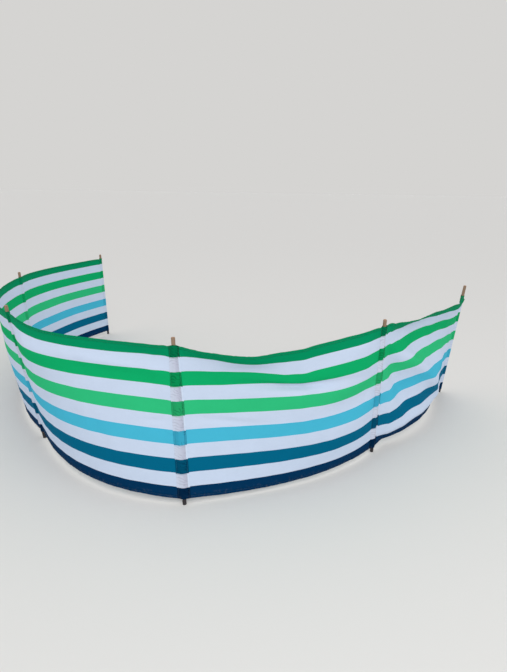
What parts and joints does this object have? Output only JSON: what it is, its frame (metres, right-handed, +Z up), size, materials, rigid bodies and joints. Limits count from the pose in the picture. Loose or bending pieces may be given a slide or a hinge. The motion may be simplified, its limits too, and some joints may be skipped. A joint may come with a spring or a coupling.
{
  "type": "beach windbreak",
  "caption": "Striped cloth windbreak on upright wooden poles, set up as a curved open-ended shelter on level ground.",
  "frame": {"origin": "centre of the front centre pole's foot, at the level of the ground", "axes": "+X to the right along the front, +Y into the sheltered side, +Z up"},
  "size_m": [3.7451, 3.1251, 0.9548],
  "materials": {
    "striped_cloth": "woven polyester, matt",
    "top_hem_cloth": "woven polyester, matt",
    "bottom_hem_cloth": "woven polyester, matt",
    "pole_wood": "bare turned softwood"
  },
  "bodies": {
    "root": {"pole_far_end": "pole_wood", "pocket_far_end": "striped_cloth", "pole_back_left": "pole_wood", "pocket_back_left": "striped_cloth", "pole_front_left": "pole_wood", "pocket_front_left": "striped_cloth", "pole_front_centre": "pole_wood", "pocket_front_centre": "striped_cloth", "pole_front_right": "pole_wood", "pocket_front_right": "striped_cloth", "pole_right_end": "pole_wood", "pocket_right_end": "striped_cloth", "panel_back": "striped_cloth", "top_hem_back": "top_hem_cloth", "bottom_hem_back": "bottom_hem_cloth", "panel_left": "striped_cloth", "top_hem_left": "top_hem_cloth", "bottom_hem_left": "bottom_hem_cloth", "panel_front_left": "striped_cloth", "top_hem_front_left": "top_hem_cloth", "bottom_hem_front_left": "bottom_hem_cloth", "panel_front_right": "striped_cloth", "top_hem_front_right": "top_hem_cloth", "bottom_hem_front_right": "bottom_hem_cloth", "panel_right": "striped_cloth", "top_hem_right": "top_hem_cloth", "bottom_hem_right": "bottom_hem_cloth"}
  },
  "joints": []
}
